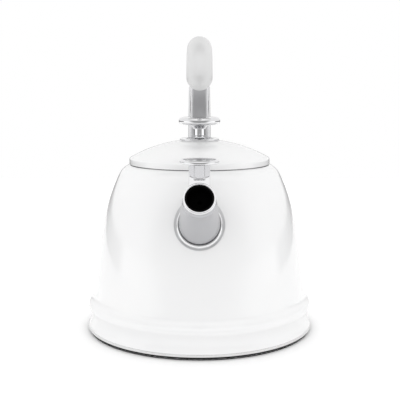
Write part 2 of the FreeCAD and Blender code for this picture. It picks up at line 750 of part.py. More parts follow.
def grip_half(side):
    """One half of the grip: side is 1 for the outer half, over the hand, and -1 for the inner."""
    depth = grip_r + cut_margin
    parts = []
    runs = ((rear_centre, rear_bend_r, grip_start, rear_turn),
            (top_centre, top_bend_r, rear_turn, front_turn),
            (front_centre, front_bend_r, front_turn, front_end))
    for centre, radius, start, end in runs:
        rod = arc_rod(centre, radius, start, end, grip_r)
        if start == grip_start:
            rim = [e for e in rod.Edges if isinstance(e.Curve, Part.Circle)
                   and abs(e.Curve.Radius - grip_r) < TINY
                   and (e.Curve.Center - on_circle(centre, radius, start)).Length < TINY]
            rod = rod.makeFillet(grip_end_round, rim)
        away = arc_band(centre, radius - side * (depth - seam) / 2, start - cut_turn,
                        end + cut_turn, depth, 2 * depth)
        parts.append(rod.cut(away))
    end_point = on_circle(front_centre, front_bend_r, front_end)
    outwards = on_circle(V(0, 0, 0), side, front_end)
    forward = on_circle(V(0, 0, 0), 1, front_end + 90)
    cap = Part.makeSphere(grip_r, end_point)
    cap = cap.common(Part.makeCylinder(2 * grip_r, 2 * grip_r, end_point, forward))
    seam_point = end_point + outwards * (seam / 2)
    cap = cap.common(Part.makeCylinder(2 * grip_r, 2 * grip_r, seam_point, outwards))
    return joined(parts + [cap])


def make_grip():
    slot_t = tang_t + 2 * fit
    slot_w = tang_w + 2 * fit
    slot = joined([
        arc_band(rear_centre, rear_bend_r, grip_start - tang_lap, rear_turn, slot_t, slot_w),
        arc_band(top_centre, top_bend_r, rear_turn, front_turn, slot_t, slot_w),
        arc_band(front_centre, front_bend_r, front_turn, tang_end + tang_end_gap, slot_t, slot_w)])
    upper = grip_half(1).cut(slot)
    lower = grip_half(-1).cut(slot)
    length = grip_screw_length()
    screws = []
    for seat, outwards in grip_screws():
        upper = upper.cut(screw_hole(seat, outwards, grip_screw_r + fit / 2, length + fit))
        lower = lower.cut(screw_hole(seat, outwards, grip_screw_r + fit, length))
        lower = lower.cut(Part.makeCylinder(grip_head_r + 2 * fit, grip_r, seat, outwards * -1))
        screws.append(screw(seat, outwards, grip_head_r, grip_head_h, grip_screw_r, length))
    save("grip_upper", upper)
    save("grip_lower", lower)
    save("grip_screws", Part.makeCompound(screws))


os.makedirs("parts", exist_ok=True)
make_body()
make_spout()
make_whistle()
make_lid()
make_knob()
make_handle()
make_grip()
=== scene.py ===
"""Looks of the stovetop whistling kettle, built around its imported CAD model.

Metres, +Z up, spout towards -Y. Places and sizes come from the CAD nodes and the record.
"""
import json
import math

import bmesh
import bpy
from mathutils import Matrix, Vector
from mathutils.bvhtree import BVHTree


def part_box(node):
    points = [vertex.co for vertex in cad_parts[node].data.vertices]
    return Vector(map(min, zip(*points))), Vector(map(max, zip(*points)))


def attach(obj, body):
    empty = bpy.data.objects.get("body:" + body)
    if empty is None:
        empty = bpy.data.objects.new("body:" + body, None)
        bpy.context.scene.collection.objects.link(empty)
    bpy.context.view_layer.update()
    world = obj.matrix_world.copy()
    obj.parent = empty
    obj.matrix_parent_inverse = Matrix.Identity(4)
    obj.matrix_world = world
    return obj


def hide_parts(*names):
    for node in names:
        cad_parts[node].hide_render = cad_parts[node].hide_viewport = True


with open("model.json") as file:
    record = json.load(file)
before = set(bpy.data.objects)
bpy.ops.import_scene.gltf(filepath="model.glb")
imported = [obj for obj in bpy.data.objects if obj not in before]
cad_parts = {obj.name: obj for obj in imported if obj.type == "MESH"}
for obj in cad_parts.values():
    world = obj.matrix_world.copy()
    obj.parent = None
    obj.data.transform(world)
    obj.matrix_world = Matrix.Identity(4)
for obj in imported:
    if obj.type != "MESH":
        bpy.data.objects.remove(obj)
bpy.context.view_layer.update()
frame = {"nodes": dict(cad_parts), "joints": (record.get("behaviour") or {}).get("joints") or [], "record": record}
MM = 0.001
X_AXIS = Vector((1, 0, 0))

# ---- camera ------------------------------------------------------------------------------
CAMERA_BACK = 0.658              # metres in front of the kettle's axis, and above the table
CAMERA_HEIGHT = 0.2029
CAMERA_PITCH = 8.3               # degrees that it looks down
CAMERA_SHIFT_X = 0.0013
LENS = 71.4
SENSOR_W = 36

# ---- studio ------------------------------------------------------------------------------
# Brightness of the low screens by their bearing round the kettle: 0 degrees is straight in front.
SCREENS = ((0, 0.38), (34, 0.38), (56, 1.25), (92, 1.5), (101, 0.28), (180, 0.28))
SCREEN_TOP = 0.0                 # sines of the heights where one level passes into the next
WASH_START = 0.05
WASH_TOP = 0.78
CEILING_START = 0.87
WASH_BACK = 1.0                  # brightness of the wash, which rises to the ceiling's in front
WASH_FRONT = 0.40
CEILING_FRONT = 1.15
CEILING_BACK = 0.3
WASH_TURN = (0.35, 0.7)          # shares of forward in a direction, where back passes into front
CEILING_TURN = (-0.2, 0.1)
WASH_RISE = (0.30, 0.60)         # sines of the heights between which the front of the wash rises
FILL_UNDER = 0.80                # soft fill light from below, at the horizon and overhead
FILL_LOW = 1.95
FILL_HIGH = 1.04
FILL_START = -0.04               # sines of the heights between which it rises from under to low
FILL_FULL = 0.34
FLOOR_COLOR = 0.97
TABLE_FRONT = -0.30              # edges of the table top, in metres
TABLE_REAR = 1.05
TABLE_SIDE = 0.75

# ---- pieces, in millimetres --------------------------------------------------------------
TURN_STEPS = 128                 # facets round a turned piece
ARC_STEPS = 6                    # steps round a rounded corner
ON_AXIS = 1e-4                   # under this radius a turned point is a single vertex
FIT_GAP = 0.05                   # gap between a piece and the bore that it fits
TIP_R = 11.5                     # the spout's ring, at its front edge
SPOUT_TAPER = 0.088              # growth of its radius for each millimetre back from the tip
SPOUT_T = 1.1
SPOUT_FRONT = 2.7                # distance of the tube's front edge behind the tip
SPOUT_ROWS = 10
SPOUT_NEAR = 25.0                # distances behind the tip, between which it meets the wall
SPOUT_FAR = 70.0
HALVINGS = 24                    # of that stretch, to find where
RIM_T = 1.35                     # width of the bright lip round the mouth, and its depth
RIM_DEPTH = 2.6
BARREL_R = 10.05                 # the whistle's barrel: outside, bore, and both ends' distance back
BARREL_BORE_R = 8.75
BARREL_FRONT = 0.5
BARREL_REAR = 18.6
SEAL_FRONT = 8.0                 # the groove for its seal
SEAL_REAR = 11.0
SEAL_DEPTH = 0.6
COLLAR_W = 3.2                   # the collar on the wall: its width, and its height round the spout
COLLAR_HIGH = 2.3
COLLAR_BAND = 0.43               # share of its width where the flat band starts
TAB_T = 1.6
TAB_EDGE = 0.55                  # rounding along the tab's edges
TAB_BACK = 0.5                   # how far the tab lies behind the lip's front
TAB_CLEAR = 0.1                  # gap between its foot and the lip
TAB_STEPS = 72
GROOVE_OUT = 3.5                 # the pressed U: half its width, height above the lip, line, depth
GROOVE_UP = 2.6
GROOVE_HALF = 0.42
GROOVE_DEPTH = 0.3
THUMB_RIM_W = 2.2                # the thumb rest's rim, and the depth of the dish inside it
THUMB_ROUND = 0.48               # share of its thickness, the radius of its rim
DISH_DEPTH = 0.9
DISH_STEPS = 12
KNOB_ROUND = 0.44                # share of the knob's thickness, the radius of its rim
KNOB_CROWN = 0.4                 # how far the knob's top rises to its centre
NECK_FOOT_R = 4.2                # the knob's neck: foot, straight part, and flare under the disc
NECK_FOOT_H = 2.2
NECK_R = 4.8
NECK_STEP = 0.3
FLARE_R = 6.2
PLATE_HOLE_R = 2.6               # hole in the plate under the knob
SHADE_LIP_OUT = 1.3                    # how far the lid's gasket shows past its ring: a dark lip, painted shade for the shadow in the gap round the lid
GASKET_W = 4.0
CUP_T = 1.0                      # sheet thickness of the base
CUP_RIM = 2.9                    # height of its rim's lower edge
CUP_FLOOR_IN = 3.4               # distance in from the rim where its floor starts
FOOT_H = 2.3                     # the foot under the rim, and how far in it stands, low and high
FOOT_LOW_IN = 1.6
FOOT_HIGH_IN = 0.8
PAINTED_SHADE_TOP = 2.6                   # the foot's black, painted shade for the gap under the rim, ends here
PAINTED_SHADE_IN = 0.25
PAD_W = 30.0                     # the handle's foot pad: width, corners, thickness and edge
PAD_CORNER = 9.0
PAD_T = 4.4
PAD_EDGE = 1.6
PAD_SEAT = 1.0                   # the gasket under it: its thickness, and how far it shows round it
PAD_MARGIN = 1.0
RIB_W = 2.9
STRAP_T = 5.5
PANEL_DEPTH = 1.1
PANEL_STEPS = 4                  # columns of half the panel, and steps round a rib
RIB_STEPS = 12
STRAP_STEPS = 60
STRAP_SUNK = 12.0                # how far the strap runs down into its foot pad
GRIP_OVERLAP = 5.4               # and up past the lowest point of the grip


# ---- shader helpers ----------------------------------------------------------------------
def node(tree, kind, **inputs):
    """A shader node with its inputs set; sockets given as values are linked.

    A key is a socket's name, iN for its number, or set_NAME for a property of the node.
    """
    made = tree.nodes.new(kind)
    for key, value in inputs.items():
        if key.startswith("set_"):
            setattr(made, key[4:], value)
            continue
        socket = made.inputs[int(key[1:])] if key[0] == "i" and key[1:].isdigit() else made.inputs[key]
        if isinstance(value, bpy.types.NodeSocket):
            tree.links.new(value, socket)
        else:
            socket.default_value = value
    return made


def math_node(tree, operation, a, b=0.0):
    return node(tree, "ShaderNodeMath", set_operation=operation, i0=a, i1=b).outputs[0]


def ramp(tree, value, low, high, out_low=0.0, out_high=1.0):
    """out_low below low, out_high above high, smooth between."""
    made = node(tree, "ShaderNodeMapRange", set_interpolation_type="SMOOTHSTEP", Value=value)
    for name, number in (("From Min", low), ("From Max", high), ("To Min", out_low), ("To Max", out_high)):
        made.inputs[name].default_value = number
    return made.outputs[0]


def noise(tree, scale, detail=2.0, stretch=(1, 1, 1)):
    where = tree.nodes.new("ShaderNodeTexCoord").outputs["Object"]
    placed = node(tree, "ShaderNodeMapping", Vector=where, Scale=stretch).outputs[0]
    return node(tree, "ShaderNodeTexNoise", Vector=placed, Scale=scale, Detail=detail).outputs[0]


def blended(tree, factor, color_a, color_b):
    made = node(tree, "ShaderNodeMix", set_data_type="RGBA", Factor=factor)
    made.inputs[6].default_value = (*color_a, 1)
    made.inputs[7].default_value = (*color_b, 1)
    return made.outputs[2]


def new_material(name, roughness, **uniform):
    material = bpy.data.materials.new(name)
    material.use_nodes = True
    shader = material.node_tree.nodes["Principled BSDF"]
    shader.inputs["Roughness"].default_value = roughness
    for key, value in uniform.items():
        shader.inputs[key.replace("_", " ")].default_value = value
    return material, material.node_tree, shader


def bumped(tree, shader, height, strength, distance):
    bump = node(tree, "ShaderNodeBump", Height=height, Strength=strength, Distance=distance)
    tree.links.new(bump.outputs[0], shader.inputs["Normal"])


# ---- materials ---------------------------------------------------------------------------
def enamel(name):
    """High-gloss white glaze: a faint flow in its thickness and a fine orange peel."""
    material, tree, shader = new_material(name, 0.32, Coat_Weight=1.0, Coat_Roughness=0.04)
    flow = noise(tree, scale=22, detail=3)
    tone = blended(tree, flow, (0.785, 0.785, 0.79), (0.80, 0.80, 0.80))
    tree.links.new(tone, shader.inputs["Base Color"])
    fine = math_node(tree, "MULTIPLY", noise(tree, scale=900, detail=1), 0.15)
    peel = math_node(tree, "ADD", noise(tree, scale=160, detail=2), fine)
    bumped(tree, shader, peel, strength=0.05, distance=0.4 * MM)
    return material


def metal(name, color, roughness, grain=(1, 1, 1), grain_scale=900, grain_depth=0.02, smudge=0.06):
    """Metal with a directional grain and soft variation in its polish."""
    material, tree, shader = new_material(name, roughness, Metallic=1.0)
    lighter = tuple(min(1.0, c * 1.05) for c in color)
    tone = blended(tree, noise(tree, scale=60, detail=3), color, lighter)
    tree.links.new(tone, shader.inputs["Base Color"])
    polish = ramp(tree, noise(tree, scale=45, detail=4), 0.35, 0.7, roughness, roughness + smudge)
    tree.links.new(polish, shader.inputs["Roughness"])
    brushing = noise(tree, grain_scale, detail=2, stretch=grain)
    bumped(tree, shader, brushing, strength=grain_depth, distance=0.1 * MM)
    return material


def turned_metal(name, color, roughness, pitch):
    """Metal faced on a lathe: fine rings round the Z axis."""
    material, tree, shader = new_material(name, roughness, Metallic=1.0)
    where = tree.nodes.new("ShaderNodeTexCoord").outputs["Object"]
    split = node(tree, "ShaderNodeSeparateXYZ", Vector=where)
    square_x = math_node(tree, "MULTIPLY", split.outputs["X"], split.outputs["X"])
    square_y = math_node(tree, "MULTIPLY", split.outputs["Y"], split.outputs["Y"])
    radius = math_node(tree, "SQRT", math_node(tree, "ADD", square_x, square_y))
    rings = math_node(tree, "SINE", math_node(tree, "MULTIPLY", radius, 2 * math.pi / pitch))
    worn = noise(tree, scale=70, detail=4)
    tone = blended(tree, worn, color, tuple(c * 0.88 for c in color))
    tree.links.new(tone, shader.inputs["Base Color"])
    polish = ramp(tree, worn, 0.3, 0.7, roughness, roughness + 0.1)
    tree.links.new(polish, shader.inputs["Roughness"])
    bumped(tree, shader, rings, strength=0.08, distance=0.05 * MM)
    return material


def moulded(name, color, roughness, depth=0.06, **uniform):
    """Moulded plastic or rubber, or a matt paint, with a fine spark-eroded grain."""
    material, tree, shader = new_material(name, roughness, **uniform)
    tone = blended(tree, noise(tree, scale=35, detail=3), color, tuple(c * 0.94 for c in color))
    tree.links.new(tone, shader.inputs["Base Color"])
    sheen = ramp(tree, noise(tree, scale=90, detail=3), 0.3, 0.7, roughness, roughness + 0.08)
    tree.links.new(sheen, shader.inputs["Roughness"])
    bumped(tree, shader, noise(tree, scale=1800, detail=2), strength=depth, distance=0.08 * MM)
    return material


def make_materials():
    """Every finish by its name. The strap's panel satin and the spout cone's satin are darker satins that only
    pieces use; the cone's is darkened as painted shade, for the shaded body that the cone reflects.
    """
    satin = {"grain": (1, 1, 0.06), "grain_scale": 1500, "grain_depth": 0.03, "smudge": 0.05}
    panel = {"grain": (1, 1, 0.05), "grain_scale": 1400, "grain_depth": 0.04}
    plastic = {"depth": 0.02, "Specular_IOR_Level": 0.03}
    paint = {"depth": 0.03, "Specular_IOR_Level": 0.01}
    return {
        "white_enamel": enamel("white_enamel"),
        "polished_steel": turned_metal("polished_steel", (0.80, 0.80, 0.80), 0.10, pitch=0.9 * MM),
        "brushed_steel": metal("brushed_steel", (0.65, 0.65, 0.66), 0.26, grain=(0.05, 0.05, 1)),
        "aluminium": metal("aluminium", (0.75, 0.75, 0.76), 0.38, grain=(1, 0.05, 1)),
        "satin_chrome": metal("satin_chrome", (0.80, 0.80, 0.81), 0.10, **satin),
        # Darker copy of satin_chrome: painted shade, for the shaded body that the spout cone reflects.
        "shaded_cone_satin": metal("shaded_cone_satin", (0.49, 0.49, 0.505), 0.17, **satin),
        "strap_panel": metal("strap_panel", (0.54, 0.54, 0.55), 0.28, **panel),
        "bright_chrome": metal("bright_chrome", (0.76, 0.76, 0.77), 0.05, grain_depth=0.004, smudge=0.03),
        "silicone": moulded("silicone", (0.16, 0.16, 0.17), 0.55),
        "screw_steel": metal("screw_steel", (0.60, 0.60, 0.60), 0.28, grain=(1, 0.1, 0.1)),
        "grip_plastic": moulded("grip_plastic", (0.70, 0.70, 0.70), 0.40, depth=0.02, Metallic=0.3),
        "black_plastic": moulded("black_plastic", (0.002, 0.002, 0.002), 0.5, **plastic),
        "black_metal": moulded("black_metal", (0.001, 0.001, 0.001), 0.8, **paint),
    }


MATERIALS = make_materials()
SLOTS = {part["node"]: part["material_slot"] for part in frame["record"]["subparts"]}
BODY_OF = {name: body for body, names in frame["record"]["behaviour"]["bodies"].items() for name in names}


# ---- camera and studio -------------------------------------------------------------------
def make_camera():
    """Camera in front of the spout, looking slightly down."""
    data = bpy.data.cameras.new("camera")
    data.lens = LENS
    data.sensor_width = SENSOR_W
    data.shift_x = CAMERA_SHIFT_X
    camera = bpy.data.objects.new("camera", data)
    bpy.context.scene.collection.objects.link(camera)
    turn = Matrix.Rotation(math.radians(90 - CAMERA_PITCH), 4, "X")
    camera.matrix_world = Matrix.Translation((0, -CAMERA_BACK, CAMERA_HEIGHT)) @ turn
    bpy.context.scene.camera = camera


def make_world():
    """Screens low round the kettle, a bright wash above them, and a ceiling that is dark behind.

    Shiny surfaces mirror these; the soft fill lights matt ones, as a large diffuser would.
    The camera itself sees plain white round the table.
    """
    world = bpy.data.worlds.new("studio")
    world.use_nodes = True
    tree = world.node_tree
    background = tree.nodes["Background"]
    where = tree.nodes.new("ShaderNodeTexCoord").outputs["Generated"]
    split = node(tree, "ShaderNodeSeparateXYZ", Vector=where)
    side = math_node(tree, "ABSOLUTE", split.outputs["X"])
    front = math_node(tree, "MULTIPLY", split.outputs["Y"], -1.0)
    turn = math_node(tree, "DIVIDE", math_node(tree, "ARCTAN2", side, front), math.pi)
    ring = node(tree, "ShaderNodeFloatCurve", Value=turn)
    curve = ring.mapping.curves[0]
    top = max(level for _, level in SCREENS)
    curve.points[0].location = (0, SCREENS[0][1] / top)
    curve.points[1].location = (1, SCREENS[-1][1] / top)
    for degrees, level in SCREENS[1:-1]:
        curve.points.new(degrees / 180, level / top)
    for point in curve.points:
        point.handle_type = "VECTOR"
    ring.mapping.update()
    walls = math_node(tree, "MULTIPLY", ring.outputs[0], top)
    up = ramp(tree, split.outputs["Z"], SCREEN_TOP, WASH_START)
    facing = ramp(tree, front, *WASH_TURN)
    rising = ramp(tree, split.outputs["Z"], *WASH_RISE, WASH_FRONT, CEILING_FRONT)
    wash = node(tree, "ShaderNodeMix", i0=facing, i2=WASH_BACK, i3=rising).outputs[0]
    level = node(tree, "ShaderNodeMix", i0=up, i2=walls, i3=wash).outputs[0]
    ceiling = ramp(tree, front, *CEILING_TURN, CEILING_BACK, CEILING_FRONT)
    up = ramp(tree, split.outputs["Z"], WASH_TOP, CEILING_START)
    level = node(tree, "ShaderNodeMix", i0=up, i2=level, i3=ceiling).outputs[0]
    high_fill = ramp(tree, split.outputs["Z"], 0.0, 1.0, FILL_LOW, FILL_HIGH)
    over = ramp(tree, split.outputs["Z"], FILL_START, FILL_FULL)
    fill = node(tree, "ShaderNodeMix", i0=over, i2=FILL_UNDER, i3=high_fill).outputs[0]
    rays = node(tree, "ShaderNodeLightPath")
    level = node(tree, "ShaderNodeMix", i0=rays.outputs["Is Diffuse Ray"], i2=level, i3=fill).outputs[0]
    level = node(tree, "ShaderNodeMix", i0=rays.outputs["Is Camera Ray"], i2=level, i3=1.0).outputs[0]
    background.inputs["Color"].default_value = (1, 1, 1, 1)
    tree.links.new(level, background.inputs["Strength"])
    bpy.context.scene.world = world


def make_floor():
    """Table top, white like the background."""
    mesh = bpy.data.meshes.new("floor")
    corners = [(-TABLE_SIDE, TABLE_FRONT, 0), (TABLE_SIDE, TABLE_FRONT, 0),
               (TABLE_SIDE, TABLE_REAR, 0), (-TABLE_SIDE, TABLE_REAR, 0)]
    mesh.from_pydata(corners, [], [(0, 1, 2, 3)])
    floor = bpy.data.objects.new("floor", mesh)
    bpy.context.scene.collection.objects.link(floor)
    material, _, shader = new_material("floor", 0.9)
    shader.inputs["Base Color"].default_value = (FLOOR_COLOR, FLOOR_COLOR, FLOOR_COLOR, 1)
    mesh.materials.append(material)


# ---- mesh helpers ------------------------------------------------------------------------
def piece(name, bm, nodes, finish=None):
    """Finish a mesh and let it stand for CAD nodes: it goes on their body, and they are hidden.

    Its first material is the slot's, unless another finish is named.
    """
    bmesh.ops.recalc_face_normals(bm, faces=bm.faces)
    mesh = bpy.data.meshes.new(name)
    bm.to_mesh(mesh)
    bm.free()
    mesh.shade_smooth()
    made = bpy.data.objects.new(name, mesh)
    bpy.context.scene.collection.objects.link(made)
    mesh.materials.append(MATERIALS[finish or SLOTS[nodes[0]]])
    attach(made, BODY_OF[nodes[0]])
    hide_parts(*nodes)
    return made


def rounded(corners):
    """Closed outline through (r, z, round) corners, in millimetres, with arcs where round isn't 0."""
    points = []
    for i, (r, z, size) in enumerate(corners):
        here = Vector((r, z))
        if not size:
            points.append(here)
            continue
        back = (Vector(corners[i - 1][:2]) - here).normalized()
        on = (Vector(corners[(i + 1) % len(corners)][:2]) - here).normalized()
        half = back.angle(on) / 2
        centre = here + (back + on).normalized() * (size / math.sin(half))
        start = here + back * (size / math.tan(half)) - centre
        end = here + on * (size / math.tan(half)) - centre
        turn = math.atan2(start.x * end.y - start.y * end.x, start.dot(end))
        first = math.atan2(start.y, start.x)
        for k in range(ARC_STEPS + 1):
            angle = first + turn * k / ARC_STEPS
            points.append(centre + Vector((math.cos(angle), math.sin(angle))) * size)
    return points


def lathe(points, place=Matrix.Identity(4), steps=TURN_STEPS):
    """Mesh of a closed outline of (r, z) points in millimetres, turned about the local Z axis."""
    bm = bmesh.new()
    rings = []
    for r, z in points:
        if r < ON_AXIS:
            rings.append([bm.verts.new(place @ Vector((0, 0, z * MM)))])
            continue
        ring = []
        for k in range(steps):
            angle = 2 * math.pi * k / steps
            ring.append(bm.verts.new(place @ (Vector((r * math.cos(angle), r * math.sin(angle), z)) * MM)))
        rings.append(ring)
    for ring, other in zip(rings, rings[1:] + rings[:1]):
        bridge(bm, ring, other)
    return bm


def bridge(bm, ring, other):
    """Faces between two closed rings of vertices, either of which may be a single point."""
    if len(ring) == 1 and len(other) == 1:
        return
    count = max(len(ring), len(other))
    for k in range(count):
        loop = [ring[k % len(ring)], ring[(k + 1) % len(ring)],
                other[(k + 1) % len(other)], other[k % len(other)]]
        unique = []
        for vert in loop:
            if vert not in unique:
                unique.append(vert)
        bm.faces.new(unique)


def skin(bm, sections, closed=False):
    """Mesh through closed sections of points, capped at both ends unless it closes on itself."""
    rings = [[bm.verts.new(point) for point in section] for section in sections]
    for ring, other in zip(rings, rings[1:]):
        bridge(bm, ring, other)
    if closed:
        bridge(bm, rings[-1], rings[0])
        return
    for ring in (rings[0], rings[-1]):
        middle = bm.verts.new(sum((v.co for v in ring), Vector()) / len(ring))
        bridge(bm, ring, [middle])


def surface(name):
    """A CAD node's surface, to find places on."""
    mesh = frame["nodes"][name].data
    return BVHTree.FromPolygons([v.co for v in mesh.vertices], [p.vertices for p in mesh.polygons])


def hit(tree, start, direction):
    """Where a line from a point first meets a surface."""
    return tree.ray_cast(Vector(start), Vector(direction))[0]


# ---- places read from the CAD model ------------------------------------------------------
WALL = surface("body_shell")
STRAP = surface("handle_strap")
# A direction clear of the spout and the handle, and metres that reach past every piece.
WALL_SIDE = Vector((math.sin(math.radians(60)), math.cos(math.radians(60)), 0))
FAR = 0.5
STRAP_CLEAR_Y = 0.02             # metres behind the axis, in front of the strap at every height


def wall_r(z):
    """Radius of the body's outside at a height, away from the spout and the handle."""
    return Vector(hit(WALL, WALL_SIDE * FAR + Vector((0, 0, z)), -WALL_SIDE).xy).length


def wall_point(x, z, stand_off):
    """Point on the kettle's rear side, at x and z on its wall and then a distance straight out."""
    step = 0.5 * MM
    slope = (wall_r(z + step) - wall_r(z - step)) / (2 * step)
    up = Vector((1, -slope)).normalized()
    radius = wall_r(z)
    out = Vector((x / radius, math.sqrt(1 - (x / radius) ** 2), 0))
    normal = out * up.x + Vector((0, 0, up.y))
    return out * radius + Vector((0, 0, z)) + normal * stand_off


# The spout's axis, the direction across it that points up, and the centre of its ring's front.
AXIS = Vector(next(j["axis"] for j in frame["joints"] if j["name"] == "whistle_pull")).normalized()
AXIS_UP = Vector((0, AXIS.z, -AXIS.y))
RING_LOW, RING_HIGH = [Vector(v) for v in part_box("whistle_cap_ring")]
TIP = Vector((0, RING_LOW.y + TIP_R * MM * AXIS.z, RING_HIGH.z - TIP_R * MM * AXIS_UP.z))
SPOUT_PLACE = Matrix.Translation(TIP) @ Matrix((X_AXIS, AXIS_UP, AXIS)).transposed().to_4x4()


def on_spout(turn, radius, back):
    """Point round the spout's axis, with back measured in from its tip."""
    return TIP - AXIS * back + (X_AXIS * math.cos(turn) + AXIS_UP * math.sin(turn)) * radius


def spout_r(back):
    """Radius of the spout's cone at a distance behind its tip, in metres."""
    return TIP_R * MM + SPOUT_TAPER * back


def back_to_wall(turn, radius_at):
    """How far behind the tip a line along the spout meets the wall, found by halving."""
    near = SPOUT_NEAR * MM
    far = SPOUT_FAR * MM
    for _ in range(HALVINGS):
        middle = (near + far) / 2
        point = on_spout(turn, radius_at(middle), middle)
        if Vector(point.xy).length > wall_r(point.z):
            near = middle
        else:
            far = middle
    return near


# ---- spout and whistle -------------------------------------------------------------------
def make_spout_tube():
    """Tapered tube whose root follows the body's wall."""
    front = SPOUT_FRONT * MM
    bm = bmesh.new()
    sections = []
    for inset, order in ((0.0, 1), (SPOUT_T * MM, -1)):
        rings = []
        for row in range(SPOUT_ROWS + 1):
            ring = []
            for k in range(TURN_STEPS):
                turn = 2 * math.pi * k / TURN_STEPS
                root = back_to_wall(turn, spout_r)
                back = front + (root - front) * row / SPOUT_ROWS
                ring.append(on_spout(turn, spout_r(back) - inset, back))
            rings.append(ring)
        sections += rings[::order]
    skin(bm, sections, closed=True)
    # The cone takes the darker satin: painted shade.
    piece("spout_cone", bm, ["spout_tube"], "shaded_cone_satin")


def make_spout_collar():
    """Collar on the wall round the spout's root: a round bead, and a flat band outside it.

    Its profile is shares of its width across and of its height up. Up follows the cone at the
    inner side, and is square to the wall from the middle outwards.
    """
    profile = [(0.0, 0.0), (0.0, 0.90), (0.04, 0.97), (0.10, 1.0), (0.18, 0.98), (0.28, 0.88), (0.38, 0.66),
               (COLLAR_BAND, 0.50), (0.50, 0.44), (0.92, 0.42), (0.98, 0.38), (1.0, 0.30), (1.0, 0.0)]
    flat = [across >= COLLAR_BAND for across, _ in profile]
    bm = bmesh.new()
    sections = []
    outer_r = spout_r(back_to_wall(0, spout_r)) + COLLAR_W * MM
    for k in range(TURN_STEPS):
        turn = 2 * math.pi * k / TURN_STEPS
        root = back_to_wall(turn, spout_r)
        inner = on_spout(turn, spout_r(root) + FIT_GAP * MM, root)
        outer = on_spout(turn, outer_r, back_to_wall(turn, lambda back: outer_r))
        normal = Vector((inner.x, inner.y, 0)).normalized()
        width = outer - inner
        normal = (normal - width * normal.dot(width) / width.length_squared).normalized()
        along = on_spout(turn, spout_r(0) + FIT_GAP * MM, 0) - inner
        along /= along.dot(normal)
        section = []
        for across, high in profile:
            up = along.lerp(normal, min(1.0, 2 * across))
            section.append(inner.lerp(outer, across) + up * high * COLLAR_HIGH * MM)
        sections.append(section)
    skin(bm, sections, closed=True)
    bm.faces.ensure_lookup_table()
    for i, face in enumerate(bm.faces):
        k = i % len(profile)
        if flat[k] and flat[(k + 1) % len(profile)]:
            face.material_index = 1
    collar = piece("spout_collar_ring", bm, ["spout_collar"])
    collar.data.materials.append(MATERIALS["strap_panel"])


def make_whistle():
    """Bright lip round the mouth, and the black barrel with its seal's groove inside it."""
    back_r = TIP_R + SPOUT_TAPER * RIM_DEPTH
    round_r = RIM_T * 0.45
    ring = rounded([(TIP_R - RIM_T, 0, round_r), (TIP_R, 0, round_r), (back_r, -RIM_DEPTH, 0.2),
                    (TIP_R - RIM_T, -RIM_DEPTH, 0)])
    piece("whistle_lip", lathe(ring, SPOUT_PLACE), ["whistle_cap_ring"])
    front_r = TIP_R - RIM_T - FIT_GAP
    step = RIM_DEPTH - 0.1
    groove_r = BARREL_R - SEAL_DEPTH
    barrel = rounded([(BARREL_BORE_R, -BARREL_FRONT, 0.4), (front_r, -BARREL_FRONT, 0.1), (front_r, -step, 0),
                      (BARREL_R, -step, 0), (BARREL_R, -SEAL_FRONT, 0), (groove_r, -SEAL_FRONT, 0),
                      (groove_r, -SEAL_REAR, 0), (BARREL_R, -SEAL_REAR, 0), (BARREL_R, -BARREL_REAR, 0.3),
                      (BARREL_BORE_R, -BARREL_REAR, 0.3)])
    piece("whistle_sleeve", lathe(barrel, SPOUT_PLACE), ["whistle_barrel"])


def make_thumb_rest():
    """Dished disc with a rolled rim, on top of the tab."""
    low, high = [Vector(v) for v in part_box("whistle_thumb_disc")]
    thick = (high.z - low.z) / MM
    rim = (high.x - low.x) / 2 / MM
    dish_r = rim - THUMB_RIM_W
    roll = thick * THUMB_ROUND
    outline = rounded([(0, 0, 0), (rim, 0, roll), (rim, thick, roll), (dish_r, thick, 0.5)])
    for k in range(1, DISH_STEPS + 1):
        r = dish_r * (1 - k / DISH_STEPS)
        outline.append(Vector((r, thick - DISH_DEPTH * math.sqrt(1 - (r / dish_r) ** 2))))
    place = Matrix.Translation(((low.x + high.x) / 2, (low.y + high.y) / 2, low.z))
    piece("thumb_rest", lathe(outline, place), ["whistle_thumb_disc"])


def tab_groove(point):
    """How deep in the tab's pressed U a point lies, from 0 to 1."""
    up = (point - TIP).dot(AXIS_UP) / MM - TIP_R
    inside = min(GROOVE_OUT - abs(point.x) / MM, up - GROOVE_UP)
    return max(0.0, 1 - abs(inside) / GROOVE_HALF)


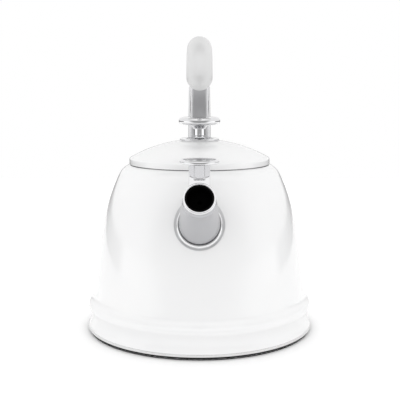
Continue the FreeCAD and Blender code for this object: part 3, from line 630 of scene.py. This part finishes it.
def make_tab():
    """Flat tab from the lip up to the thumb rest, with rounded edges and a pressed groove, whose faces take darker
    brushed steel as painted shade in the groove.
    """
    low, high = [Vector(v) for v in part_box("whistle_tab")]
    half_w = (high.x - low.x) / 2
    top = (high.z - TIP.z) / AXIS_UP.z
    steps = range(TAB_STEPS + 1)
    bm = bmesh.new()
    sheets = []
    for side in (1, -1):
        sheet = []
        for row in steps:
            line = []
            for column in steps:
                x = half_w * (2 * column / TAB_STEPS - 1)
                foot = math.sqrt(((TIP_R + TAB_CLEAR) * MM) ** 2 - x * x)
                up = foot + (top - foot) * row / TAB_STEPS
                near = min(1.0, (half_w - abs(x)) / (TAB_EDGE * MM))
                drop = TAB_EDGE * (1 - math.sqrt(1 - (1 - near) ** 2))
                point = TIP + X_AXIS * x + AXIS_UP * up
                level = -drop - GROOVE_DEPTH * tab_groove(point) if side == 1 else drop - TAB_T
                line.append(bm.verts.new(point + AXIS * (level - TAB_BACK) * MM))
            sheet.append(line)
        sheets.append(sheet)
    front, rear = sheets
    for sheet in sheets:
        for line, other in zip(sheet, sheet[1:]):
            for c in range(TAB_STEPS):
                face = bm.faces.new((line[c], line[c + 1], other[c + 1], other[c]))
                # Faces in the groove take darker brushed steel: painted shade along the pressed U.
                if sheet is front and tab_groove(face.calc_center_median()) > 0:
                    face.material_index = 1
    borders = [[(front[r][c], rear[r][c]) for r in steps] for c in (0, TAB_STEPS)]
    borders += [[(front[r][c], rear[r][c]) for c in steps] for r in (0, TAB_STEPS)]
    for border in borders:
        for (a, b), (c, d) in zip(border, border[1:]):
            bm.faces.new((a, b, d, c))
    tab = piece("lifting_tab", bm, ["whistle_tab"])
    tab.data.materials.append(MATERIALS["brushed_steel"])


# ---- knob and gasket of the lid -----------------------------------------------------------
def make_knob():
    """Knob in its three pieces: disc, neck and the plate on the lid."""
    low, high = [Vector(v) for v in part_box("knob_disc")]
    stem_low, stem_high = [Vector(v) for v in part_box("knob_stem")]
    rim = (high.x - low.x) / 2 / MM
    under = stem_high.z / MM
    top = high.z / MM
    bevel = (top - under) * KNOB_ROUND
    disc = rounded([(0, under, 0), (rim, under, bevel), (rim, top - KNOB_CROWN, bevel), (0, top, 0)])
    piece("knob_top", lathe(disc), ["knob_disc"])
    foot = stem_low.z / MM
    collar_r = (stem_high.x - stem_low.x) / 2 / MM
    step = foot + NECK_FOOT_H
    stem = rounded([(0, foot, 0), (NECK_FOOT_R, foot, 0.2), (NECK_FOOT_R, step, 0.15),
                    (NECK_R, step + NECK_STEP, 0.3), (NECK_R, under - 3.4, 2.2), (FLARE_R, under - 1.4, 1.2),
                    (collar_r, under - 0.5, 0.25), (collar_r, under, 0.2), (0, under, 0)])
    piece("knob_neck", lathe(stem), ["knob_stem"])
    flange_low, flange_high = [Vector(v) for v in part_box("knob_flange")]
    edge = (flange_high.x - flange_low.x) / 2 / MM
    dome = flange_low.z / MM
    plate = [(edge - 0.6, foot), (edge - 0.2, foot - 0.12), (edge, foot - 0.4), (edge, dome + 0.02),
             (edge - 1, dome + 0.1), (PLATE_HOLE_R, foot - 0.5), (PLATE_HOLE_R, foot)]
    piece("knob_plate", lathe([Vector(p) for p in plate]), ["knob_flange"])


def make_gasket():
    """Silicone ring under the lid, with a thin dark lip put out into the gap round it: painted shade, standing for
    the shadow in that gap.
    """
    low, high = [Vector(v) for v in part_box("lid_gasket")]
    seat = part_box("neck_ring")[1].z / MM
    under = low.z / MM
    top = high.z / MM
    rim = high.x / MM
    # The lip reaches past the ring into the gap: a dark sheet as painted shade.
    lip = rim + SHADE_LIP_OUT
    inside = rim - GASKET_W
    ring = rounded([(inside, under, 0.2), (rim, under, 0), (lip, seat - 0.5, 0.1), (lip, seat - 0.1, 0.1),
                    (rim + 0.3, under + 0.5, 0), (rim, top, 0.3), (inside, top, 0.3)])
    piece("gasket_with_shade_lip", lathe(ring, steps=2 * TURN_STEPS), ["lid_gasket"])


# ---- base --------------------------------------------------------------------------------
def make_base():
    """Polished cup under the pot, on a foot that stands in under its rim. The foot is painted black: painted shade
    for the dark gap under the rim.
    """
    high = Vector(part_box("base_cap")[1])
    edge = high.x / MM
    top = high.z / MM
    inside = edge - CUP_T
    cup = rounded([(0, 0, 0), (edge - FOOT_LOW_IN, 0, 0.5), (edge - FOOT_HIGH_IN, FOOT_H, 0.3),
                   (edge - 0.35, FOOT_H + 0.2, 0.2), (edge, CUP_RIM, 0.3), (edge, top, 0.45),
                   (inside, top, 0.4), (inside, CUP_RIM + 0.2, 0.2), (edge - CUP_FLOOR_IN, CUP_T, 0.2),
                   (0, CUP_T, 0)])
    bm = lathe(cup, steps=2 * TURN_STEPS)
    # Faces of the foot low under the rim take black_metal: painted shade for the gap at the table.
    for face in bm.faces:
        middle = face.calc_center_median()
        face.material_index = int(middle.z < PAINTED_SHADE_TOP * MM and middle.xy.length < (edge - PAINTED_SHADE_IN) * MM)
    base = piece("base_cup", bm, ["base_cap"])
    base.data.materials.append(MATERIALS["black_metal"])


# ---- handle ------------------------------------------------------------------------------
def strap_middle(z):
    """Point on the strap's middle line at a height, and half the strap's width there."""
    front = hit(STRAP, (0, STRAP_CLEAR_Y, z), (0, 1, 0))
    rear = hit(STRAP, (0, FAR, z), (0, -1, 0))
    middle = (front + rear) / 2
    side = hit(STRAP, (FAR, middle.y, z), (-1, 0, 0))
    return middle, side.x


def strap_section(width, half_t, depth):
    """Outline of the strap: round ribs along both edges of a recessed panel, front and back."""
    bead = RIB_W * MM / 2
    middle = width - bead
    rise = half_t - bead
    first = math.asin((half_t - depth - rise) / bead)
    arc = [(math.pi - first) * (1 - k / RIB_STEPS) for k in range(RIB_STEPS + 1)]
    side = [(middle + bead * math.cos(a), rise + bead * math.sin(a)) for a in arc]
    quarter = [(side[0][0] * k / PANEL_STEPS, half_t - depth) for k in range(PANEL_STEPS)] + side
    right = quarter + [(x, -n) for x, n in reversed(quarter)]
    left = [(-x, n) for x, n in reversed(right)]
    return right + left[1:-1]


def make_strap():
    """Strap with a satin panel between polished ribs, from its foot pad up into the grip."""
    low, high = [Vector(v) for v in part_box("strap_gasket")]
    z0 = high.z - STRAP_SUNK * MM
    z1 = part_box("grip_lower")[0].z + GRIP_OVERLAP * MM
    stations = [strap_middle(z0 + (z1 - z0) * k / STRAP_STEPS) for k in range(STRAP_STEPS + 1)]
    sections = []
    for k, (middle, width) in enumerate(stations):
        before = stations[max(0, k - 1)][0]
        after = stations[min(STRAP_STEPS, k + 1)][0]
        along = (after - before).normalized()
        normal = Vector((0, -along.z, along.y))
        outline = strap_section(width, STRAP_T * MM / 2, PANEL_DEPTH * MM)
        sections.append([middle + X_AXIS * x + normal * n for x, n in outline])
    panel = [abs(abs(n) - (STRAP_T / 2 - PANEL_DEPTH) * MM) < 0.01 * MM for _, n in outline]
    bm = bmesh.new()
    skin(bm, sections)
    bm.faces.ensure_lookup_table()
    for i in range(STRAP_STEPS * len(panel)):
        k = i % len(panel)
        if panel[k] and panel[(k + 1) % len(panel)]:
            bm.faces[i].material_index = 1
    add_pad(bm, (low + high) / 2, high.z - low.z)
    strap = piece("strap_and_foot", bm, ["handle_strap"])
    strap.data.materials.append(MATERIALS["strap_panel"])


def add_pad(bm, centre, height):
    """Foot pad on its gasket: a rounded plate that follows the wall."""
    half_w = PAD_W * MM / 2
    half_h = height / 2 - PAD_MARGIN * MM
    corner = PAD_CORNER * MM
    edge = PAD_EDGE * MM
    face = PAD_T * MM
    outline = []
    for quarter in range(4):
        for k in range(9):
            angle = math.pi / 2 * (quarter + k / 8)
            x = (half_w - corner) * (1 if quarter in (0, 3) else -1) + corner * math.cos(angle)
            z = (half_h - corner) * (1 if quarter in (0, 1) else -1) + corner * math.sin(angle)
            outline.append((x, z))
    levels = [(0.0, PAD_SEAT * MM), (0.0, face - edge)]
    for k in range(1, 5):
        angle = math.pi / 8 * k
        levels.append((edge * (1 - math.cos(angle)), face - edge * (1 - math.sin(angle))))
    sections = []
    for inset, stand_off in levels:
        share_x = 1 - inset / half_w
        share_z = 1 - inset / half_h
        sections.append([wall_point(x * share_x, centre.z + z * share_z, stand_off) for x, z in outline])
    for share in (0.75, 0.5, 0.25):
        sections.append([wall_point(x * share, centre.z + z * share, face) for x, z in outline])
    skin(bm, sections)


# ---- making it all -----------------------------------------------------------------------
def make_pieces():
    make_gasket()
    make_base()
    make_spout_tube()
    make_spout_collar()
    make_whistle()
    make_tab()
    make_thumb_rest()
    make_knob()
    make_strap()


def finish_cad_nodes():
    """Give every CAD node the material of its slot."""
    for name, made in frame["nodes"].items():
        made.data.materials.clear()
        made.data.materials.append(MATERIALS[SLOTS[name]])


make_camera()
bpy.context.scene.view_settings.view_transform = "Standard"
make_world()
make_floor()
finish_cad_nodes()
make_pieces()
